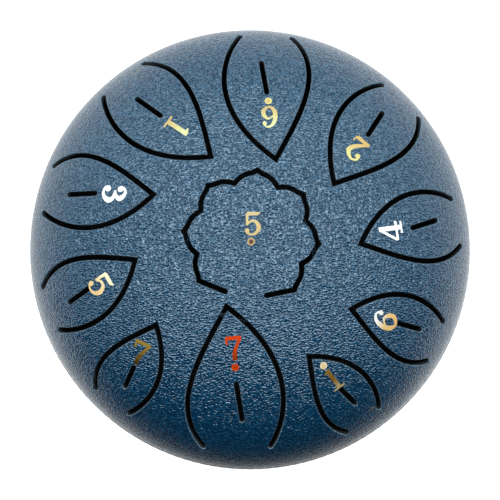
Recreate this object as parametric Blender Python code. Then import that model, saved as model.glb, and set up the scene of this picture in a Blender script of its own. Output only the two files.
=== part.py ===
"""Small steel tongue drum: two pressed steel shells welded at the rim, on three rubber feet.

The dome on top is slit into eleven tongues, a ring of ten round one in the middle.
Each tongue is its own object, and its origin lies on the line it bends about. Foil
numerals with octave dots are stuck on the tongues. Sizes are in millimetres until a
mesh is made. Z = 0 is the surface that the feet stand on, and -Y is the player's side.
"""

import math

import bmesh
import bpy
import numpy as np
from mathutils.geometry import delaunay_2d_cdt

METRES_PER_MM = 0.001
SAME_PLACE = 0.01
MERGE_DISTANCE = 0.0001
SHARP_ANGLE = 40.0

# Shells
RIM_RADIUS = 75.0
DOME_HEIGHT = 44.0
DOME_POWER = 2.2
BOWL_DEPTH = 36.0
FLAT_BASE_RADIUS = 45.0
SHEET = 1.5
GAP = 0.3
SOUND_HOLE_RADIUS = 22.0
LIP_BEND = 2.5
LIP_STRAIGHT = 2.0

# Feet
FOOT_COUNT = 3
FOOT_RING_RADIUS = 38.0
FOOT_FIRST_ANGLE = 30.0
FOOT_HEIGHT = 6.0
FOOT_RADIUS = 6.5
FOOT_NECK_RADIUS = 3.2
FOOT_BARB_RADIUS = 4.6
FOOT_BARB_HEIGHT = 4.0
FOOT_SOLE_CHAMFER = (1.0, 0.3, 0.6)
FOOT_TOP_CHAMFER = (1.0, 1.2)
FOOT_BARB_TAPER = (0.6, 1.2)
FOOT_NOSE_TAPER = 0.8

# Rim weld: a V groove between the shells, and the bead that fills it
EQUATOR_Z = FOOT_HEIGHT + BOWL_DEPTH
GROOVE_HALF_WIDTH = 0.9
GROOVE_DEPTH = 0.9
BEAD_CROWN = 0.2

# Tongues: plan dimensions, with each tongue's x axis from its tip out to its root
SLOT_WIDTH = 1.65
ROOT_SKEW = 0.018
LEFT_TIP_HANDLE = (0.723, 50.0)
LEFT_ROOT_HANDLE = (0.136, 40.1)
RIGHT_TIP_HANDLE = (0.371, 32.4)
RIGHT_ROOT_HANDLE = (0.391, 37.9)
# How far a slit's ends lie to the left of the axis, as shares of the tongue's length
SLIT_SIDE_AT_TIP_END = 0.030
SLIT_SIDE_AT_ROOT_END = 0.0525
# Each note's name, axis angle, axis offset from the drum's centre, length, half width
# at the root, the root's distance from the drum's centre, and its tuning slit's two ends
NOTES = [
    ("7_low", -85.8, 9.3, 45.0, 11.2, 68.7, 24.4, 37.5),
    ("6_low", 93.9, 10.2, 44.7, 8.8, 71.1, 22.5, 35.1),
    ("1", 135.9, 10.2, 41.6, 8.9, 70.7, 21.4, 33.2),
    ("2", 52.8, 11.2, 38.2, 8.3, 70.5, 19.8, 30.8),
    ("3", 173.2, 10.4, 36.2, 8.3, 70.6, 18.8, 29.3),
    ("4", 15.5, 11.5, 34.0, 8.0, 69.9, 17.6, 27.7),
    ("5", -153.3, 10.6, 32.3, 7.9, 70.4, 17.3, 26.5),
    ("6", -18.1, 11.8, 30.1, 7.1, 70.3, 15.6, 24.5),
    ("7", -122.3, 10.8, 28.4, 7.1, 70.1, 14.8, 22.9),
    ("1_high", -47.6, 11.9, 27.2, 6.8, 70.2, 14.2, 22.1),
]

# Centre tongue: an eight-petalled outline, open where the eighth tip would be. A side's
# handles are shares of its chord, with their turns away from the drum's centre
PETAL_COUNT = 8
PETAL_CENTRE = (0.4, -0.1)
PETAL_TIP_RADIUS = 22.2
PETAL_NOTCH_RADIUS = 18.55
PETAL_TIP_HANDLE = (0.35, -5.5)
PETAL_NOTCH_HANDLE = (0.61, 22.0)
PETAL_ROOT_ANGLE = 264.6
CENTRE_ROOT_RADIUS = 19.65
CENTRE_ROOT_HALF_ANGLE = 20.1

# Numerals: hand-placed stickers, tops towards the drum's centre. Each note's distance
# from the tongue's tip, distance to the left of its axis, turn and height
FOIL = 0.2
CENTRE_NUMERAL_AT = (0.8, 4.4)
CENTRE_NUMERAL_HEIGHT = 7.9
STICKERS = {
    "7_low": (13.7, 1.6, 0.5, 8.7),
    "6_low": (14.5, 1.1, -1.0, 8.1),
    "1": (14.7, 1.1, 8.4, 9.1),
    "2": (14.0, 1.1, -1.5, 8.9),
    "3": (13.0, 0.6, 2.8, 8.9),
    "4": (10.6, 1.1, -6.0, 8.9),
    "5": (13.8, 1.6, 3.5, 8.9),
    "6": (11.7, 0.3, -1.5, 9.1),
    "7": (10.6, 0.4, 8.3, 9.2),
    "1_high": (10.6, 1.8, -4.1, 8.5),
}
# Octave dots: each note's distance from the numeral's middle, and distance to its right
DOT_RADIUS = 1.25
DOTS = {
    "7_low": (6.2, -0.3),
    "6_low": (5.9, 0.0),
    "5_low": (6.0, -0.4),
    "1_high": (5.9, -0.5),
}

# Mesh fineness
GRID = 7.0
RIM_SEGMENTS = 64
LIP_SEGMENTS = 40
FOOT_SEGMENTS = 16
DOME_PROFILE_STEPS = 600
WALL_PROFILE_STEPS = 200
BASE_PROFILE_STEPS = 30
LIP_PROFILE_STEPS = 12
LIP_RINGS = 3
BASE_RING_RADIUS = 31.0
WALL_RINGS = 6
SLOT_SIDE_STEPS = 9
PETAL_SIDE_STEPS = 3
CAP_STEPS = 3
ROOT_STEPS = 4
STROKE_STEPS = 2
DOT_SEGMENTS = 10

# Each numeral in a box one unit high: strokes are (x, y, half width) along a smooth
# middle line, and balls are (x, y, radius).
GLYPHS = {
    "1": {
        "strokes": [
            [(0.27, 0.04, 0.09), (0.27, 0.96, 0.09)],
            [(0.27, 0.90, 0.05), (0.08, 0.84, 0.03)],
            [(0.02, 0.04, 0.04), (0.52, 0.04, 0.04)],
        ],
        "balls": [],
    },
    "2": {
        "strokes": [
            [(0.07, 0.72, 0.03), (0.13, 0.88, 0.04), (0.33, 0.95, 0.05), (0.57, 0.74, 0.09),
             (0.47, 0.46, 0.08), (0.22, 0.21, 0.06), (0.08, 0.08, 0.05)],
            [(0.05, 0.08, 0.07), (0.62, 0.08, 0.08)],
            [(0.63, 0.06, 0.04), (0.67, 0.30, 0.02)],
        ],
        "balls": [(0.15, 0.71, 0.10)],
    },
    "3": {
        "strokes": [
            [(0.10, 0.76, 0.04), (0.18, 0.90, 0.05), (0.36, 0.94, 0.06), (0.55, 0.75, 0.10),
             (0.43, 0.57, 0.06), (0.24, 0.53, 0.045)],
            [(0.28, 0.53, 0.045), (0.51, 0.47, 0.07), (0.61, 0.27, 0.105), (0.40, 0.06, 0.06),
             (0.16, 0.09, 0.05), (0.07, 0.21, 0.04)],
        ],
        "balls": [(0.19, 0.74, 0.11), (0.16, 0.23, 0.12)],
    },
    "4": {
        "strokes": [
            [(0.51, 0.04, 0.085), (0.51, 0.96, 0.085)],
            [(0.50, 0.94, 0.045), (0.05, 0.27, 0.045)],
            [(0.04, 0.25, 0.045), (0.76, 0.25, 0.045)],
            [(0.28, 0.04, 0.04), (0.74, 0.04, 0.04)],
        ],
        "balls": [],
    },
    "5": {
        "strokes": [
            [(0.12, 0.90, 0.08), (0.58, 0.90, 0.07)],
            [(0.54, 0.89, 0.06), (0.66, 0.97, 0.02)],
            [(0.12, 0.93, 0.06), (0.12, 0.42, 0.05)],
            [(0.12, 0.46, 0.04), (0.30, 0.60, 0.05), (0.50, 0.55, 0.07), (0.60, 0.32, 0.09),
             (0.48, 0.10, 0.06), (0.28, 0.04, 0.04), (0.10, 0.11, 0.04)],
        ],
        "balls": [(0.12, 0.19, 0.10)],
    },
    "6": {
        "strokes": [
            [(0.58, 0.86, 0.03), (0.42, 0.95, 0.045), (0.22, 0.84, 0.07), (0.10, 0.55, 0.09),
             (0.13, 0.22, 0.09), (0.34, 0.05, 0.05), (0.57, 0.22, 0.085), (0.54, 0.46, 0.08),
             (0.38, 0.58, 0.045), (0.14, 0.44, 0.035)],
        ],
        "balls": [(0.55, 0.78, 0.09)],
    },
    "7": {
        "strokes": [
            [(0.05, 0.92, 0.07), (0.62, 0.92, 0.07)],
            [(0.05, 0.96, 0.035), (0.06, 0.72, 0.04)],
            [(0.59, 0.92, 0.06), (0.44, 0.63, 0.06), (0.34, 0.36, 0.08), (0.32, 0.06, 0.10)],
        ],
        "balls": [(0.08, 0.72, 0.05)],
    },
}
GLYPH_MIDDLE = (0.34, 0.5)

MATERIALS = {
    "blue_paint": ((0.10, 0.20, 0.30), 0.55, 0.3),
    "weld_paint": ((0.14, 0.24, 0.33), 0.6, 0.3),
    "rubber": ((0.02, 0.02, 0.02), 0.8, 0.0),
    "gold_foil": ((0.85, 0.62, 0.30), 0.3, 1.0),
}


def make_material(name):
    """A Principled material from the table of colour, roughness and metallic values."""
    colour, roughness, metallic = MATERIALS[name]
    material = bpy.data.materials.new(name)
    material.use_nodes = True
    shader = material.node_tree.nodes["Principled BSDF"]
    shader.inputs["Base Color"].default_value = (*colour, 1.0)
    shader.inputs["Roughness"].default_value = roughness
    shader.inputs["Metallic"].default_value = metallic
    return material


def make_object(name, points_mm, faces, material, origin_mm=(0.0, 0.0, 0.0), parent=None):
    """An object whose origin lies at origin_mm, from points given in the drum's frame."""
    origin = np.asarray(origin_mm)
    points = (np.asarray(points_mm) - origin) * METRES_PER_MM
    mesh = bpy.data.meshes.new(name)
    mesh.from_pydata([tuple(point) for point in points], [], [tuple(face) for face in faces])
    solid = bmesh.new()
    solid.from_mesh(mesh)
    loose = [vertex for vertex in solid.verts if not vertex.link_faces]
    bmesh.ops.delete(solid, geom=loose, context="VERTS")
    bmesh.ops.recalc_face_normals(solid, faces=solid.faces)
    solid.to_mesh(mesh)
    solid.free()
    mesh.materials.append(material)
    mesh.shade_smooth()
    mesh.set_sharp_from_angle(angle=math.radians(SHARP_ANGLE))
    piece = bpy.data.objects.new(name, mesh)
    bpy.context.scene.collection.objects.link(piece)
    location = origin * METRES_PER_MM
    if parent is not None:
        piece.parent = parent
        location = location - np.array(parent.location)
    piece.location = location
    return piece


class Profile:
    """The outer line of a turned sheet, from its middle to its rim.

    A point's flat radius is its distance along the line, so an outline drawn flat in
    polar coordinates wraps onto the sheet without stretching along the radius.
    """

    def __init__(self, radii, heights, flat_start, inward_sign):
        steps = np.hypot(np.diff(radii), np.diff(heights))
        self.flat = flat_start + np.concatenate([[0.0], np.cumsum(steps)])
        self.radii = radii
        self.heights = heights
        slope_r = np.gradient(radii, self.flat)
        slope_z = np.gradient(heights, self.flat)
        length = np.hypot(slope_r, slope_z)
        self.inward_r = inward_sign * slope_z / length
        self.inward_z = -inward_sign * slope_r / length

    def place(self, flat_points, depth):
        """Points in space for flat points, at a depth below the outer face."""
        flat_points = np.asarray(flat_points)
        flat = np.hypot(flat_points[:, 0], flat_points[:, 1])
        angle = np.arctan2(flat_points[:, 1], flat_points[:, 0])
        radius = np.interp(flat, self.flat, self.radii)
        radius = radius + depth * np.interp(flat, self.flat, self.inward_r)
        height = np.interp(flat, self.flat, self.heights)
        height = height + depth * np.interp(flat, self.flat, self.inward_z)
        return np.column_stack([radius * np.cos(angle), radius * np.sin(angle), height])

    def flatten(self, plan_points):
        """Flat points for plan points, on a profile whose radius only grows."""
        plan_points = np.asarray(plan_points)
        radius = np.hypot(plan_points[:, 0], plan_points[:, 1])
        angle = np.arctan2(plan_points[:, 1], plan_points[:, 0])
        flat = np.interp(radius, self.radii, self.flat)
        return np.column_stack([flat * np.cos(angle), flat * np.sin(angle)])


def dome_profile():
    """The top shell's line: a superellipse from the crown to the weld groove."""
    turn = np.linspace(0.0, math.pi / 2, DOME_PROFILE_STEPS)
    radii = RIM_RADIUS * np.sin(turn) ** (2 / DOME_POWER)
    heights = EQUATOR_Z + DOME_HEIGHT * np.abs(np.cos(turn)) ** (2 / DOME_POWER)
    above_groove = heights >= EQUATOR_Z + GROOVE_HALF_WIDTH
    return Profile(radii[above_groove], heights[above_groove], 0.0, 1)


def bowl_profile():
    """The bottom shell's line: the sound hole's lip, the flat base and the curved wall."""
    bend_radius = SOUND_HOLE_RADIUS + LIP_BEND
    bend_turn = np.linspace(0.0, math.pi / 2, LIP_PROFILE_STEPS + 1)
    wall_turn = np.linspace(0.0, math.pi / 2, WALL_PROFILE_STEPS)[1:]
    wall_height = EQUATOR_Z - BOWL_DEPTH * np.cos(wall_turn)
    wall_radius = FLAT_BASE_RADIUS + (RIM_RADIUS - FLAT_BASE_RADIUS) * np.sin(wall_turn)
    below_groove = wall_height <= EQUATOR_Z - GROOVE_HALF_WIDTH
    lip_top = FOOT_HEIGHT + LIP_BEND + LIP_STRAIGHT
    base_radii = np.linspace(bend_radius, FLAT_BASE_RADIUS, BASE_PROFILE_STEPS)[1:]
    radii = np.concatenate([
        [SOUND_HOLE_RADIUS],
        bend_radius - LIP_BEND * np.cos(bend_turn),
        base_radii,
        wall_radius[below_groove],
    ])
    heights = np.concatenate([
        [lip_top],
        FOOT_HEIGHT + LIP_BEND * (1 - np.sin(bend_turn)),
        np.full(len(base_radii), FOOT_HEIGHT),
        wall_height[below_groove],
    ])
    flat_start = bend_radius - LIP_BEND * math.pi / 2 - LIP_STRAIGHT
    return Profile(radii, heights, flat_start, -1)


def circle(radius, segments, centre=(0.0, 0.0)):
    """A closed polygon whose points lie on a circle, the first one towards +X."""
    turns = np.arange(segments) * 2 * math.pi / segments
    return np.column_stack([
        centre[0] + radius * np.cos(turns),
        centre[1] + radius * np.sin(turns),
    ])


def cubic(start, start_handle, end_handle, end, steps):
    """Points along a cubic curve, both ends included."""
    share = np.linspace(0.0, 1.0, steps + 1)[:, None]
    rest = 1 - share
    return (
        rest**3 * start
        + 3 * rest**2 * share * start_handle
        + 3 * rest * share**2 * end_handle
        + share**3 * end
    )


def petal_side(tip_handle, root_handle, sign, length, root_half):
    """One side of a tongue's slot line, from the tip at (0, 0) to its end at the root."""
    root = np.array([1.0 + sign * ROOT_SKEW, sign * root_half / length])
    tip_angle = math.radians(tip_handle[1])
    root_angle = math.radians(root_handle[1])
    first = tip_handle[0] * np.array([math.cos(tip_angle), sign * math.sin(tip_angle)])
    second = root + root_handle[0] * np.array([-math.cos(root_angle), sign * math.sin(root_angle)])
    return length * cubic(np.zeros(2), first, second, root, SLOT_SIDE_STEPS)


def tongue_frame(axis_angle, axis_offset, length, root_half, root_radius):
    """A tongue's tip and its two directions in plan: along the axis, and to its left."""
    turn = math.radians(axis_angle)
    along = np.array([math.cos(turn), math.sin(turn)])
    left = np.array([-math.sin(turn), math.cos(turn)])
    root_distance = math.sqrt(root_radius**2 - axis_offset**2 - root_half**2)
    tip = along * (root_distance - length) - left * axis_offset
    return tip, along, left


def tongue_slot_line(axis_angle, axis_offset, length, root_half, root_radius):
    """The slot's middle line round one tongue: left end, tip, right end."""
    left_side = petal_side(LEFT_TIP_HANDLE, LEFT_ROOT_HANDLE, 1, length, root_half)
    right_side = petal_side(RIGHT_TIP_HANDLE, RIGHT_ROOT_HANDLE, -1, length, root_half)
    local = np.concatenate([left_side[::-1], right_side[1:]])
    tip, along, left = tongue_frame(axis_angle, axis_offset, length, root_half, root_radius)
    return tip + local[:, :1] * along + local[:, 1:] * left


def polar(radius, angle_deg):
    """A plan point from its radius and its angle in degrees."""
    angle = math.radians(angle_deg)
    return np.array([radius * math.cos(angle), radius * math.sin(angle)])


def petal_edge(tip, notch):
    """Half of a lotus petal's edge, from its pointed tip to the notch beside it."""
    chord = notch - tip
    outward = np.array([-chord[1], chord[0]])
    if np.dot(outward, tip) < 0:
        outward = -outward

    def handle(share, turn, direction):
        angle = math.radians(turn)
        return share * (direction * math.cos(angle) * chord + math.sin(angle) * outward)

    tip_handle = tip + handle(*PETAL_TIP_HANDLE, 1)
    notch_handle = notch + handle(*PETAL_NOTCH_HANDLE, -1)
    return cubic(tip, tip_handle, notch_handle, notch, PETAL_SIDE_STEPS)


def centre_slot_line():
    """The slot's middle line round the centre tongue, counterclockwise between its ends."""
    step = 360.0 / PETAL_COUNT
    start_angle = PETAL_ROOT_ANGLE - 360.0
    pieces = [[polar(CENTRE_ROOT_RADIUS, start_angle + CENTRE_ROOT_HALF_ANGLE)]]
    pieces.append([polar(PETAL_TIP_RADIUS, start_angle + step)])
    for petal in range(1, PETAL_COUNT - 1):
        tip = polar(PETAL_TIP_RADIUS, start_angle + petal * step)
        notch = polar(PETAL_NOTCH_RADIUS, start_angle + (petal + 0.5) * step)
        next_tip = polar(PETAL_TIP_RADIUS, start_angle + (petal + 1) * step)
        pieces.append(petal_edge(tip, notch)[1:])
        pieces.append(petal_edge(next_tip, notch)[-2::-1])
    pieces.append([polar(CENTRE_ROOT_RADIUS, PETAL_ROOT_ANGLE - CENTRE_ROOT_HALF_ANGLE)])
    return np.array(PETAL_CENTRE) + np.concatenate(pieces)


def unit(vectors):
    """Vectors scaled to a length of one."""
    return vectors / np.linalg.norm(vectors, axis=-1, keepdims=True)


def offset_line(line, distance):
    """An open line moved to its left by a distance, with mitred corners."""
    directions = unit(np.diff(line, axis=0))
    normals = np.column_stack([-directions[:, 1], directions[:, 0]])
    before = np.concatenate([normals[:1], normals])
    after = np.concatenate([normals, normals[-1:]])
    mitre = (before + after) / (1 + (before * after).sum(axis=1))[:, None]
    return line + distance * mitre


def cap(centre, outward, sign):
    """A slot's round end, from its outer side to just short of the root line."""
    radius = SLOT_WIDTH / 2
    short = math.asin(GAP / 2 / radius)
    side = sign * np.array([-outward[1], outward[0]])
    turns = np.linspace(0.0, math.pi - short, CAP_STEPS + 1)[:, None]
    return centre + radius * (np.sin(turns) * outward - np.cos(turns) * side)


def straight(start, end, steps):
    """Points between two ends, both ends left out."""
    shares = np.linspace(0.0, 1.0, steps + 1)[1:-1, None]
    return start + shares * (end - start)


def window_outline(line):
    """The opening round one tongue in the shell, in plan, counterclockwise."""
    outer = offset_line(line, -SLOT_WIDTH / 2)
    end_outward = unit(line[-1] - line[-2])
    start_outward = unit(line[0] - line[1])
    end_cap = cap(line[-1], end_outward, 1)
    start_cap = cap(line[0], start_outward, -1)[::-1]
    root = straight(end_cap[-1], start_cap[0], ROOT_STEPS)
    return np.concatenate([outer[1:-1], end_cap, root, start_cap])


def tongue_outline(line):
    """One tongue's own edge in plan, counterclockwise."""
    inner = offset_line(line, SLOT_WIDTH / 2)
    inner[0] = inner[0] - unit(line[0] - line[1]) * GAP / 2
    inner[-1] = inner[-1] - unit(line[-1] - line[-2]) * GAP / 2
    root = straight(inner[-1], inner[0], ROOT_STEPS)
    return np.concatenate([inner, root])


def slit_outline(start, end):
    """A slit with round ends, in plan, between the centres of its ends."""
    outward = unit(end - start)
    side = np.array([-outward[1], outward[0]])
    radius = SLOT_WIDTH / 2
    turns = np.linspace(0.0, math.pi, CAP_STEPS + 1)[:, None]
    far_end = end + radius * (np.sin(turns) * outward - np.cos(turns) * side)
    near_end = start + radius * (-np.sin(turns) * outward + np.cos(turns) * side)
    return np.concatenate([far_end, near_end])


def winding(points, outline):
    """How many times a closed outline goes round each point."""
    here = outline[None] - points[:, None]
    ahead = np.roll(outline, -1, axis=0)[None] - points[:, None]
    cross = here[..., 0] * ahead[..., 1] - here[..., 1] * ahead[..., 0]
    dot = (here * ahead).sum(axis=2)
    return np.rint(np.arctan2(cross, dot).sum(axis=1) / (2 * math.pi)).astype(int)


def edge_distance(points, outline):
    """Each point's distance to the nearest side of a closed outline."""
    start = outline[None]
    side = np.roll(outline, -1, axis=0)[None] - start
    share = ((points[:, None] - start) * side).sum(axis=2) / (side**2).sum(axis=2)
    nearest = start + np.clip(share, 0, 1)[..., None] * side
    return np.linalg.norm(points[:, None] - nearest, axis=2).min(axis=1)


def grid_points(border, holes):
    """A triangular grid inside the border, clear of the outlines."""
    reach = int(np.abs(border).max() / GRID) + 2
    rows = np.arange(-reach, reach + 1)
    points = np.array([
        (GRID * (column + 0.5 * (row % 2)), GRID * row * math.sqrt(3) / 2)
        for row in rows
        for column in rows
    ])
    points = points[winding(points, border) != 0]
    for outline in [border, *holes]:
        points = points[edge_distance(points, outline) > GRID / 2]
    for hole in holes:
        points = points[winding(points, hole) == 0]
    return points


def triangulate(outlines, extra_points, keep):
    """Flat points and triangles between closed outlines; keep says which middles stay."""
    points = []
    edges = []
    for outline in outlines:
        first = len(points)
        count = len(outline)
        points.extend(outline)
        edges.extend((first + i, first + (i + 1) % count) for i in range(count))
    points.extend(extra_points)
    result = delaunay_2d_cdt([tuple(point) for point in points], edges, [], 0, MERGE_DISTANCE)
    flat = np.array([tuple(vertex) for vertex in result[0]])
    triangles = np.array(result[2])
    return flat, triangles[keep(flat[triangles].mean(axis=1))]


def sheet_between(border, holes, extra_points):
    """Flat points and triangles inside a border and outside its holes."""
    def keep(middles):
        kept = winding(middles, border) != 0
        for hole in holes:
            kept &= winding(middles, hole) == 0
        return kept

    return triangulate([border, *holes], extra_points, keep)


def border_edges(triangles):
    """The directed edges that belong to one triangle only."""
    directed = {
        (triangle[i], triangle[(i + 1) % 3])
        for triangle in triangles.tolist()
        for i in range(3)
    }
    return [edge for edge in directed if (edge[1], edge[0]) not in directed]


def thicken(profile, flat, triangles, top_depth, bottom_depth):
    """Points and faces of a closed sheet between two depths under the outer face."""
    count = len(flat)
    points = np.concatenate([profile.place(flat, top_depth), profile.place(flat, bottom_depth)])
    faces = [tuple(triangle) for triangle in triangles.tolist()]
    faces += [tuple(count + i for i in reversed(triangle)) for triangle in triangles.tolist()]
    faces += [(b, a, count + a, count + b) for a, b in sorted(border_edges(triangles))]
    return points, faces


def add_weld_groove(points, faces, flat, profile, side):
    """Gives a shell's rim its chamfer and its land, above or below the rim weld."""
    count = len(flat)
    on_rim = set(np.flatnonzero(np.hypot(*flat.T) > profile.flat[-1] - SAME_PLACE).tolist())
    land_z = EQUATOR_Z + side * GAP / 2
    land_index = {}
    land_points = []
    for index in sorted(on_rim):
        outward = unit(flat[index])
        land_index[index] = len(points) + len(land_points)
        land_points.append((*(outward * (RIM_RADIUS - GROOVE_DEPTH)), land_z))
        points[count + index] = (*(outward * (RIM_RADIUS - SHEET)), land_z)
    grooved = []
    for face in faces:
        if len(face) == 4 and face[0] in on_rim and face[1] in on_rim:
            b, a, inner_a, inner_b = face
            grooved.append((b, a, land_index[a], land_index[b]))
            grooved.append((land_index[b], land_index[a], inner_a, inner_b))
        else:
            grooved.append(face)
    return np.concatenate([points, land_points]), grooved


def top_shell(profile, slot_lines, material):
    """The pressed dome, with a window for each tongue."""
    border = circle(profile.flat[-1], RIM_SEGMENTS)
    windows = [profile.flatten(window_outline(line)) for line in slot_lines]
    flat, triangles = sheet_between(border, windows, grid_points(border, windows))
    points, faces = thicken(profile, flat, triangles, 0.0, SHEET)
    points, faces = add_weld_groove(points, faces, flat, profile, 1)
    make_object("top_shell", points, faces, material)


def foot_angles():
    """The feet's angles round the base, in degrees."""
    return [FOOT_FIRST_ANGLE + foot * 360.0 / FOOT_COUNT for foot in range(FOOT_COUNT)]


def bottom_shell(profile, material):
    """The pressed bowl, with its lipped sound hole and the holes that the feet plug."""
    border = circle(profile.flat[-1], RIM_SEGMENTS)
    lip = circle(profile.flat[0], LIP_SEGMENTS)
    foot_hole_radius = FOOT_NECK_RADIUS + GAP
    foot_holes = [
        circle(foot_hole_radius, FOOT_SEGMENTS, polar(FOOT_RING_RADIUS, angle))
        for angle in foot_angles()
    ]
    bend_start = profile.flat[0] + LIP_STRAIGHT
    bend_end = SOUND_HOLE_RADIUS + LIP_BEND
    bend_rings = np.linspace(bend_start, bend_end, LIP_RINGS)
    wall_rings = np.linspace(FLAT_BASE_RADIUS, profile.flat[-1], WALL_RINGS + 1)[:-1]
    rings = [circle(radius, LIP_SEGMENTS) for radius in [*bend_rings, BASE_RING_RADIUS]]
    rings += [circle(radius, RIM_SEGMENTS) for radius in wall_rings]
    flat, triangles = sheet_between(border, [lip, *foot_holes], np.concatenate(rings))
    points, faces = thicken(profile, flat, triangles, 0.0, SHEET)
    points, faces = add_weld_groove(points, faces, flat, profile, -1)
    make_object("bottom_shell", points, faces, material)


def weld_bead(material):
    """The weld round the rim, as a closed ring in the groove."""
    slope = GROOVE_HALF_WIDTH / GROOVE_DEPTH
    clear_half = GROOVE_HALF_WIDTH - GAP * math.hypot(1.0, slope)
    root_radius = RIM_RADIUS - clear_half / slope
    section = [
        (root_radius, 0.0),
        (RIM_RADIUS, clear_half),
        (RIM_RADIUS + BEAD_CROWN, clear_half / 2),
        (RIM_RADIUS + BEAD_CROWN, -clear_half / 2),
        (RIM_RADIUS, -clear_half),
    ]
    points = []
    faces = []
    count = len(section)
    for segment in range(RIM_SEGMENTS):
        turn = 2 * math.pi * segment / RIM_SEGMENTS
        for radius, height in section:
            points.append((radius * math.cos(turn), radius * math.sin(turn), EQUATOR_Z + height))
        first = segment * count
        second = (segment + 1) % RIM_SEGMENTS * count
        for i in range(count):
            j = (i + 1) % count
            faces.append((first + i, first + j, second + j, second + i))
    make_object("weld_bead", points, faces, material)


def foot(name, centre, material):
    """A push-in rubber foot: a disc under the base, a neck and a barb inside the shell."""
    disc_top = FOOT_HEIGHT - GAP
    barb_bottom = FOOT_HEIGHT + SHEET + GAP
    sole_in, sole_edge_in, sole_up = FOOT_SOLE_CHAMFER
    top_in, top_down = FOOT_TOP_CHAMFER
    barb_in, barb_up = FOOT_BARB_TAPER
    outline = [
        (FOOT_RADIUS - sole_in, 0.0),
        (FOOT_RADIUS - sole_edge_in, sole_up),
        (FOOT_RADIUS, disc_top - top_down),
        (FOOT_RADIUS - top_in, disc_top),
        (FOOT_NECK_RADIUS, disc_top),
        (FOOT_NECK_RADIUS, barb_bottom),
        (FOOT_BARB_RADIUS, barb_bottom),
        (FOOT_BARB_RADIUS - barb_in, barb_bottom + barb_up),
        (FOOT_NECK_RADIUS - FOOT_NOSE_TAPER, barb_bottom + FOOT_BARB_HEIGHT),
    ]
    points = []
    faces = []
    for radius, height in outline:
        ring = circle(radius, FOOT_SEGMENTS, centre)
        points.extend((x, y, height) for x, y in ring)
    for level in range(len(outline) - 1):
        for i in range(FOOT_SEGMENTS):
            j = (i + 1) % FOOT_SEGMENTS
            first = level * FOOT_SEGMENTS
            second = first + FOOT_SEGMENTS
            faces.append((first + i, first + j, second + j, second + i))
    faces.append(tuple(reversed(range(FOOT_SEGMENTS))))
    last = (len(outline) - 1) * FOOT_SEGMENTS
    faces.append(tuple(range(last, last + FOOT_SEGMENTS)))
    make_object(name, points, faces, material, origin_mm=(*centre, 0.0))


def root_hinge(profile, line):
    """The middle and the direction of the line that a tongue bends about."""
    inner = offset_line(line, SLOT_WIDTH / 2)
    root_points = np.array([inner[-1], (inner[-1] + inner[0]) / 2, inner[0]])
    in_space = profile.place(profile.flatten(root_points), SHEET / 2)
    pivot = (in_space[1] + (in_space[0] + in_space[2]) / 2) / 2
    return pivot, unit(in_space[2] - in_space[0])


def tongue(name, profile, line, slits, material):
    """One tongue as a closed sheet, with its origin on the line it bends about."""
    border = profile.flatten(tongue_outline(line))
    holes = [profile.flatten(slit) for slit in slits]
    flat, triangles = sheet_between(border, holes, grid_points(border, holes))
    points, faces = thicken(profile, flat, triangles, 0.0, SHEET)
    pivot, _ = root_hinge(profile, line)
    return make_object(name, points, faces, material, origin_mm=pivot)


def smooth_line(controls):
    """A smooth curve through control rows, each segment in STROKE_STEPS steps."""
    controls = np.array(controls)
    if len(controls) == 2:
        return controls
    padded = np.concatenate([
        2 * controls[:1] - controls[1:2], controls, 2 * controls[-1:] - controls[-2:-1],
    ])
    rows = []
    for i in range(len(controls) - 1):
        before, start, end, after = padded[i : i + 4]
        for step in range(STROKE_STEPS):
            t = step / STROKE_STEPS
            rows.append(0.5 * (
                2 * start
                + (end - before) * t
                + (2 * before - 5 * start + 4 * end - after) * t**2
                + (3 * start - before - 3 * end + after) * t**3
            ))
    rows.append(controls[-1])
    return np.array(rows)


def stroke_outline(controls):
    """A pen stroke's edge, counterclockwise, from its middle line and half widths."""
    rows = smooth_line(controls)
    line = rows[:, :2]
    widths = rows[:, 2:]
    side = offset_line(line, 1.0) - line
    return np.concatenate([line - side * widths, (line + side * widths)[::-1]])


def glyph_outlines(glyph):
    """The overlapping outlines that together make one numeral, in glyph units."""
    outlines = [stroke_outline(stroke) for stroke in glyph["strokes"]]
    outlines += [circle(radius, DOT_SEGMENTS, (x, y)) for x, y, radius in glyph["balls"]]
    return outlines


def foil_piece(name, profile, outlines, material, parent):
    """A piece of foil on the dome from overlapping flat outlines."""
    def keep(middles):
        kept = np.zeros(len(middles), dtype=bool)
        for outline in outlines:
            kept |= winding(middles, outline) != 0
        return kept

    flat, triangles = triangulate(outlines, [], keep)
    points, faces = thicken(profile, flat, triangles, -GAP - FOIL, -GAP)
    used = points[np.unique(triangles)]
    centre = (used.min(axis=0) + used.max(axis=0)) / 2
    make_object(name, points, faces, material, origin_mm=centre, parent=parent)


def label(note, profile, centre, up_angle, height, material, parent):
    """A tongue's numeral, and its octave dot if the note has one."""
    digit, _, octave = note.partition("_")
    middle = profile.flatten([centre])[0]
    up = polar(1.0, up_angle)
    right = np.array([up[1], -up[0]])
    outlines = []
    for outline in glyph_outlines(GLYPHS[digit]):
        local = (outline - GLYPH_MIDDLE) * height
        outlines.append(middle + local[:, :1] * right + local[:, 1:] * up)
    foil_piece(f"numeral_{note}", profile, outlines, material, parent)
    if octave:
        distance, dot_side = DOTS[note]
        direction = 1 if octave == "high" else -1
        dot = circle(DOT_RADIUS, DOT_SEGMENTS,
                     middle + direction * distance * up + dot_side * right)
        foil_piece(f"dot_{note}", profile, [dot], material, parent)


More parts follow.
